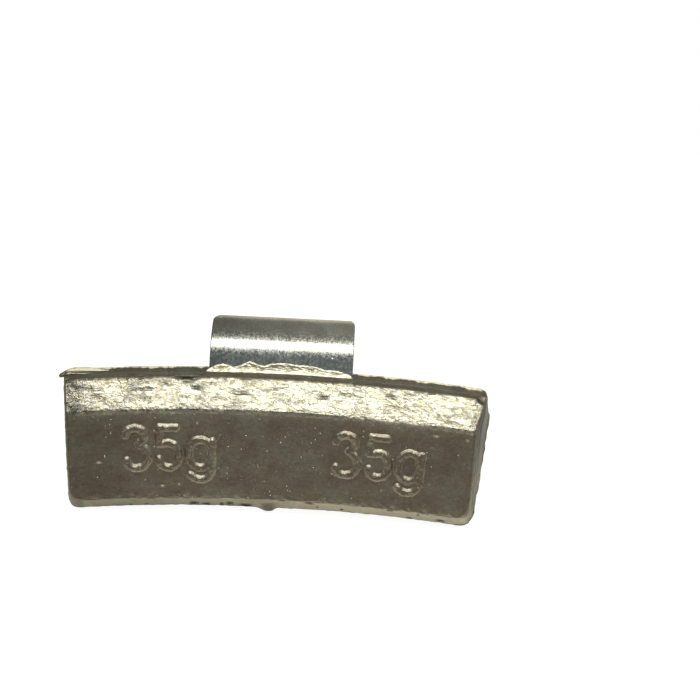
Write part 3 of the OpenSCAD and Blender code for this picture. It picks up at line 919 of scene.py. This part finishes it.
# Section 3: the flash
# Lead that ran past the die: a film crept up the front of the clip, and a tongue hangs over at the left end
# of the lip. Both froze in the air, so they keep the brightest skin of the whole casting; the film's light
# colour is partly that skin and partly a painted highlight, and its rim a painted highlight line.

# Upper edge of the film: place along the clip, height above the flange line
FILM_EDGE = (
    (-7.45, 0.24), (-7.2, 0.55), (-6.85, 0.8), (-6.25, 1.12), (-5.7, 1.2), (-5.0, 1.1), (-4.5, 0.9),
    (-3.8, 1.08), (-3.2, 1.38), (-2.8, 1.54), (-2.35, 1.4), (-1.9, 1.25), (-1.2, 1.12), (-0.5, 1.42),
    (0.4, 1.48), (1.4, 1.46), (2.5, 1.4), (3.3, 1.36), (4.3, 1.26), (5.15, 1.02), (5.9, 1.08),
    (6.95, 0.96), (7.7, 0.66), (8.35, 0.2))
FILM_FOOT = 0.14
FILM_THICK = 0.07
ROLL_DEPTH = 6.17
ROLL_HEIGHT = 0.55
FLASH_CLEAN_HIGHLIGHT = "dad4ba"
FLASH_CLOUDED = "aaa694"
FLASH_RIM_HIGHLIGHT = "f0ecdc"


def clip_front(z):
    """Depth of the clip's front face on its leaning leg."""
    lean = math.radians(LEG_LEAN)
    return ROOT_DEPTH + STRIP_THICK / 2 * math.cos(lean) + (z - BACK_TOP_Z - ROOT_RISE) * math.tan(lean)


def film_mesh():
    """The film as a grid from its thick roll at the foot to its thin, raised rim."""
    edge = np.array(FILM_EDGE)
    xs = np.linspace(edge[0, 0], edge[-1, 0], 190)
    tops = np.interp(xs, edge[:, 0], edge[:, 1]) + 0.035 * waves(xs, 0 * xs, 1.6, 0.4, 51)
    tops[0], tops[-1] = FILM_FOOT + 0.02, FILM_FOOT + 0.02
    parts = np.concatenate([[0, 0.03, 0.07, 0.12], np.linspace(0.17, 0.9, 22), [0.93, 0.96, 0.985, 1.0]])
    roll_top = ROLL_HEIGHT + 0.2 * waves(xs, 0 * xs, 4.0, 1.2, 53)
    rows = []
    rims = []
    for part in parts:
        up = part * (tops - FILM_FOOT)
        radius = FLANGE_R + FILM_FOOT + up
        z = AXLE_Z + np.sqrt(radius ** 2 - xs ** 2)
        from_rim = (1 - part) * (tops - FILM_FOOT)
        stand = smooth(tops - FILM_FOOT, 0.0, 0.4)
        roll = ROLL_DEPTH - 0.2 * up - 0.32 * np.clip(1 - up / 0.09, 0, 1) ** 2
        roll = roll + 0.02 * waves(xs, 3 * up, 1.2, 0.4, 55)
        film = clip_front(z) + FILM_THICK + 0.055 * np.exp(-((from_rim - 0.2) / 0.13) ** 2)
        film = film + 0.035 * waves(xs + up, 1.6 * up, 1.0, 0.25, 57)
        over = smooth(up, roll_top - 0.08, roll_top + 0.08)
        depth = roll * (1 - over) + film * over
        depth = depth - np.clip(1 - from_rim / 0.05, 0, 1) ** 2 * 0.1
        depth = clip_front(z) + (depth - clip_front(z)) * stand
        rows.append(np.stack([xs, -depth, z], axis=1))
        rims.append(np.exp(-((from_rim - 0.09) / 0.08) ** 2))
    first, last = rows[0].copy(), rows[-1].copy()
    first[:, 1] += 0.5
    last[:, 1] += 0.35
    rows = [first] + rows + [last]
    rims = [rims[0] * 0] + rims + [rims[-1] * 0]
    grid = np.array(rows)
    n, m = grid.shape[:2]
    faces = [(i * m + j, i * m + j + 1, (i + 1) * m + j + 1, (i + 1) * m + j)
             for i in range(n - 1) for j in range(m - 1)]
    return grid.reshape(-1, 3), faces, {"rim": np.concatenate(rims)}


# The tongue: place along the body, middle radius and depth, half breadth and half thickness
TONGUE = (
    (-17.5, 210.45, 5.58, 0.3, 0.04), (-19.0, 210.5, 5.6, 0.5, 0.12), (-20.5, 210.55, 5.62, 0.56, 0.18),
    (-21.3, 210.55, 5.64, 0.54, 0.22), (-21.86, 210.5, 5.62, 0.47, 0.25),
    (-22.14, 210.44, 5.58, 0.4, 0.25), (-22.5, 210.32, 5.52, 0.32, 0.24),
    (-22.7, 210.29, 5.5, 0.25, 0.2), (-22.8, 210.28, 5.5, 0.16, 0.13),
    (-22.85, 210.27, 5.5, 0.05, 0.04))
# Its lean in degrees above and below its middle
TONGUE_LEAN = (14, 50)
# How much darker the tongue's colour is made
TONGUE_DARKENING = 0.1
LIP_TOP_R = 211.1


def tongue_mesh():
    """The tongue as rings along the lip, thin where it leaves the lip and round at its tip."""
    marks = np.array(TONGUE)
    places = np.linspace(marks[0, 0], marks[-1, 0], 60)
    points = []
    around = np.linspace(0, 2 * math.pi, 28, endpoint=False)
    upper = smooth(-np.cos(around), -0.15, 0.15)
    lean = np.radians(TONGUE_LEAN[0] * upper + TONGUE_LEAN[1] * (1 - upper))
    for x in places:
        radius, depth, broad, thick = [np.interp(-x, -marks[:, 0], marks[:, k]) for k in range(1, 5)]
        wave = 1 + 0.06 * waves(around * 0.6 + x, around, 1.5, 0.5, 61)
        a, b = broad * np.cos(around) * wave, thick * np.sin(around) * wave
        r = radius - a * np.cos(lean) + b * np.sin(lean)
        d = depth + a * np.sin(lean) + b * np.cos(lean)
        points += [(x, -dd, AXLE_Z + math.sqrt(rr ** 2 - x ** 2)) for rr, dd in zip(r, d)]
    count = len(around)
    faces = ring_faces(len(places), count)
    faces.append(tuple(range(count)))
    faces.append(tuple(range(len(points) - 1, len(points) - count - 1, -1)))
    x, y, z = np.array(points).T
    from_top = LIP_TOP_R - np.hypot(x, z - AXLE_Z)
    # The top of the tongue is painted bright as a highlight
    top = smooth(-from_top, -0.62, -0.42) * smooth(x, -22.3, -21.9) * smooth(-x, 17.4, 19.4)
    weights = {key: np.zeros(len(points)) for key in ("bevel", "raised", "end", "ridge", "dust_glints")}
    return points, faces, {**weights, "rubbed_and_highlight": top, "oxide_and_painted_shade": np.full(len(points), TONGUE_DARKENING)}


# Fresh lead, frozen without touching the die: the same grey metal, smoother, painted brighter partly as a
# highlight, with a painted highlight along its rim
fresh, tree = new_material("fresh_lead_flash")
place = add(tree, "TexCoord").outputs["Object"]
mm = add(tree, "VectorMath", {0: place, 1: (1000, 1000, 1000)}, operation="MULTIPLY")
cloud = add(tree, "TexNoise", {"Vector": mm, "Scale": 1.2, "Detail": 5, "Roughness": 0.65})
cloud_tone = add(tree, "MapRange", {"Value": cloud, "From Min": 0.4, "From Max": 0.65})
flash_colour = add(
    tree, "Mix",
    {"Factor": cloud_tone, "A": linear(FLASH_CLEAN_HIGHLIGHT), "B": linear(FLASH_CLOUDED)}, data_type="RGBA")
on_rim = add(tree, "Attribute", attribute_name="rim").outputs["Fac"]
rim_highlight_colour = add(
    tree, "Mix", {"Factor": on_rim, "A": flash_colour, "B": linear(FLASH_RIM_HIGHLIGHT)}, data_type="RGBA")
ripple = add(tree, "TexNoise", {"Vector": mm, "Scale": 3.2, "Detail": 5, "Roughness": 0.65})
ripple_bump = add(tree, "Bump", {"Height": ripple, "Strength": 1.0, "Distance": 0.00005})
flash_rough = add(
    tree, "MapRange", {"Value": cloud, "From Min": 0.3, "From Max": 0.7, "To Min": 0.32, "To Max": 0.45})
rim_rough = add(tree, "Mix", {"Factor": on_rim, "A": flash_rough, "B": 0.62}, data_type="FLOAT")
metal = add(
    tree, "BsdfPrincipled",
    {"Base Color": rim_highlight_colour, "Metallic": 1.0, "Roughness": rim_rough, "Normal": ripple_bump})
add(tree, "OutputMaterial", {"Surface": metal})

points, faces, weights = film_mesh()
film = shell("lead_film_on_clip", points, faces, fresh, weights)
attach(film, "root")
points, faces, weights = tongue_mesh()
tongue = shell("lip_tongue", points, faces, lead, weights)
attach(tongue, "root")

# Section 4: the table, the lights and the camera
# The weight lies as it was put down: on the two lower back corners and on the end of the clip's hook.

TABLE_LEAN = 19.1
TABLE_SIZE = 1.2
TABLE_ABOVE = 0.045
PAPER_WHITE = "ffffff"
PAPER_MIRRORED = "fffbf0"
PAPER_CLIP_SHADOW = "cbc2af"
PAPER_DIFFUSE = "807e78"
table_up = Vector((0, -math.cos(math.radians(TABLE_LEAN)), math.sin(math.radians(TABLE_LEAN))))
lowest = min(table_up @ v.co for piece in (body, clip) for v in piece.data.vertices)
along_x = Vector((1, 0, 0))
up_table = table_up.cross(along_x)
corners = [table_up * (lowest - 0.00002) + along_x * x + up_table * y
           for x, y in ((-TABLE_SIZE, -TABLE_SIZE), (TABLE_SIZE, -TABLE_SIZE), (TABLE_SIZE, TABLE_ABOVE),
                        (-TABLE_SIZE, TABLE_ABOVE))]


def looking(tree):
    """The kinds of ray, and 1 for those that look at a surface, 0 for those that gather light."""
    rays = add(tree, "LightPath")
    seen = rays.outputs["Is Camera Ray"]
    for kind in ("Is Glossy Ray", "Is Transmission Ray"):
        seen = add(tree, "Math", {0: seen, 1: rays.outputs[kind]}, operation="MAXIMUM")
    return rays, seen


paper, tree = new_material("white_paper_table")
rays, seen = looking(tree)
side = add(tree, "NewGeometry")
glow = add(tree, "Math", {0: seen, 1: 0.93}, operation="MULTIPLY")
# White paper: white to the camera, and a matt sheet that takes the shadow. Mirrored in the metal, it is
# shaded close to the weight, painted with shade beyond the two ends, and painted a tan shadow behind the
# clip
shade = add(tree, "AmbientOcclusion", {"Distance": 0.03}, samples=4)
paper_at = add(tree, "TexCoord").outputs["Object"]
paper_x, _, paper_z = add(tree, "SeparateXYZ", {0: paper_at}).outputs
paper_high = add(tree, "MapRange", {"Value": paper_z, "From Min": 0.008, "From Max": 0.016})
paper_aside = add(tree, "Math", {0: paper_x}, operation="ABSOLUTE")
paper_near = add(
    tree, "MapRange",
    {"Value": paper_aside, "From Min": 0.01, "From Max": 0.016, "To Min": 1.0, "To Max": 0.0})
# Painted shade on the paper beyond the two ends of the weight
beside = add(
    tree, "MapRange",
    {"Value": paper_aside, "From Min": 0.021, "From Max": 0.026, "To Min": 1.0, "To Max": 0.45})
clip_shadow_mask = add(tree, "Math", {0: paper_high, 1: paper_near}, operation="MULTIPLY")
mirrored = add(
    tree, "Mix",
    {"Factor": clip_shadow_mask, "A": linear(PAPER_MIRRORED), "B": linear(PAPER_CLIP_SHADOW)}, data_type="RGBA")
near_shade = add(tree, "MapRange", {"Value": shade.outputs["AO"], "To Min": 0.2, "To Max": 1.0})
mirrored_shade = add(tree, "Math", {0: near_shade, 1: beside}, operation="MULTIPLY")
shaded = add(tree, "VectorMath", {0: mirrored, "Scale": mirrored_shade}, operation="SCALE")
glow_colour = add(
    tree, "Mix",
    {"Factor": rays.outputs["Is Camera Ray"], "A": shaded, "B": linear(PAPER_WHITE)}, data_type="RGBA")
sheet = add(tree, "BsdfDiffuse", {"Color": linear(PAPER_DIFFUSE)})
white = add(tree, "Emission", {"Color": glow_colour, "Strength": glow})
front = add(tree, "AddShader", {0: sheet, 1: white})
clear = add(tree, "BsdfTransparent")
table_mix = add(tree, "MixShader", {0: side.outputs["Backfacing"], 1: front, 2: clear})
add(tree, "OutputMaterial", {"Surface": table_mix})
mesh = bpy.data.meshes.new("table_top")
mesh.from_pydata([tuple(c) for c in corners], [], [(0, 1, 2, 3)])
if mesh.polygons[0].normal @ table_up < 0:
    mesh.flip_normals()
mesh.materials.append(paper)
table_top = bpy.data.objects.new("table_top", mesh)
bpy.context.scene.collection.objects.link(table_top)


def room_point(angle, distance):
    """A place in the plane across the weight, at an angle from the front towards the clip's side."""
    a = math.radians(angle)
    return Vector((0, -math.cos(a) * distance, math.sin(a) * distance))


KEY_ANGLE = 29
KEY_FAR = 0.5
KEY_TALL = 18
KEY_WIDE = 0.8
KEY_RADIANCE = 7.5
key_data = bpy.data.lights.new("window", "AREA")
key_data.shape = "RECTANGLE"
key_data.size = KEY_WIDE
key_data.size_y = 2 * KEY_FAR * math.tan(math.radians(KEY_TALL / 2))
key_data.energy = KEY_RADIANCE * math.pi * key_data.size * key_data.size_y
key_data.color = (1.0, 1.0, 0.97)
key = bpy.data.objects.new("window", key_data)
key.location = room_point(KEY_ANGLE, KEY_FAR)
key.rotation_mode = "QUATERNION"
key.rotation_quaternion = key.location.to_track_quat("Z", "Y")
key.visible_camera = False
bpy.context.scene.collection.objects.link(key)

# The unlit room, as a curved grey card behind the lamp: metal mirrors it, and the camera looks past it
CARD_R = 0.9
CARD_HALF_X = 2.8
CARD_SPAN = (-71, 128)
CARD_STEPS = 60
# Colour of the room by height from the card's lower edge to its top
CARD_COLOURS = ((0.0, "9d9893"), (0.41, "8c918e"), (0.81, "9ea19a"), (1.0, "999992"))
room, tree = new_material("grey_card")
card_at = add(tree, "TexCoord").outputs["Object"]
card_x, _, card_z = add(tree, "SeparateXYZ", {0: card_at}).outputs
card_tone = add(tree, "MapRange", {"Value": card_z, "From Min": -0.5, "From Max": 0.88})
card_ramp = add(tree, "ValToRGB", {0: card_tone})
card_stops = card_ramp.color_ramp.elements
card_stops[-1].position = CARD_COLOURS[1][0]
for height, _ in CARD_COLOURS[2:]:
    card_stops.new(height)
for stop, (_, colour) in zip(card_stops, CARD_COLOURS):
    stop.color = linear(colour)
# The room is darker towards its left and far right, and lit again beyond both
card_side = add(
    tree, "MapRange", {"Value": card_x, "From Min": -0.5, "From Max": 0.1, "To Min": 0.34, "To Max": 1.1})
card_right = add(
    tree, "MapRange", {"Value": card_x, "From Min": 0.05, "From Max": 0.5, "To Min": 1.0, "To Max": 0.4})
card_aside = add(tree, "Math", {0: card_x}, operation="ABSOLUTE")
card_ends = add(
    tree, "MapRange", {"Value": card_aside, "From Min": 0.6, "From Max": 0.95, "To Min": 1.0, "To Max": 2.6})
card_middle = add(tree, "Math", {0: card_side, 1: card_right}, operation="MULTIPLY")
card_level = add(tree, "Math", {0: card_middle, 1: card_ends}, operation="MULTIPLY")
glow_card = add(tree, "Emission", {"Color": card_ramp, "Strength": card_level})
add(tree, "OutputMaterial", {"Surface": glow_card})
card_points = []
for i in range(CARD_STEPS + 1):
    at = room_point(CARD_SPAN[0] + (CARD_SPAN[1] - CARD_SPAN[0]) * i / CARD_STEPS, CARD_R)
    card_points += [(-CARD_HALF_X, at.y, at.z), (CARD_HALF_X, at.y, at.z)]
card_faces = [(2 * i, 2 * i + 1, 2 * i + 3, 2 * i + 2) for i in range(CARD_STEPS)]
mesh = bpy.data.meshes.new("room_card")
mesh.from_pydata(card_points, [], card_faces)
mesh.materials.append(room)
card = bpy.data.objects.new("room_card", mesh)
card.visible_camera = False
card.visible_shadow = False
bpy.context.scene.collection.objects.link(card)

world = bpy.data.worlds.new("studio")
world.use_nodes = True
tree = world.node_tree
tree.nodes.clear()
rays, seen = looking(tree)
sky_level = add(tree, "MapRange", {"Value": seen, "To Min": 0.25, "To Max": 1.0})
sky = add(tree, "Background", {"Color": linear(PAPER_WHITE), "Strength": sky_level})
add(tree, "OutputWorld", {"Surface": sky})
bpy.context.scene.world = world

# The camera stands where the photograph was taken from
CAMERA_AT = (8.06, -199.77, -37.33)
CAMERA_RIGHT = (0.9988, -0.0095, 0.0474)
CAMERA_DOWN = (0.0483, 0.2358, -0.9706)
CAMERA_LENS = 97.07
camera_data = bpy.data.cameras.new("camera")
camera_data.lens = CAMERA_LENS
camera_data.sensor_width = 36
camera_data.clip_start = 0.01
camera = bpy.data.objects.new("camera", camera_data)
right = Vector(CAMERA_RIGHT).normalized()
up = -Vector(CAMERA_DOWN)
up = (up - right * (up @ right)).normalized()
behind = right.cross(up)
turned = Matrix((right, up, behind)).transposed().to_4x4()
camera.matrix_world = Matrix.Translation(Vector(CAMERA_AT) * MM) @ turned
bpy.context.scene.collection.objects.link(camera)
bpy.context.scene.camera = camera
bpy.context.scene.view_settings.view_transform = "Standard"
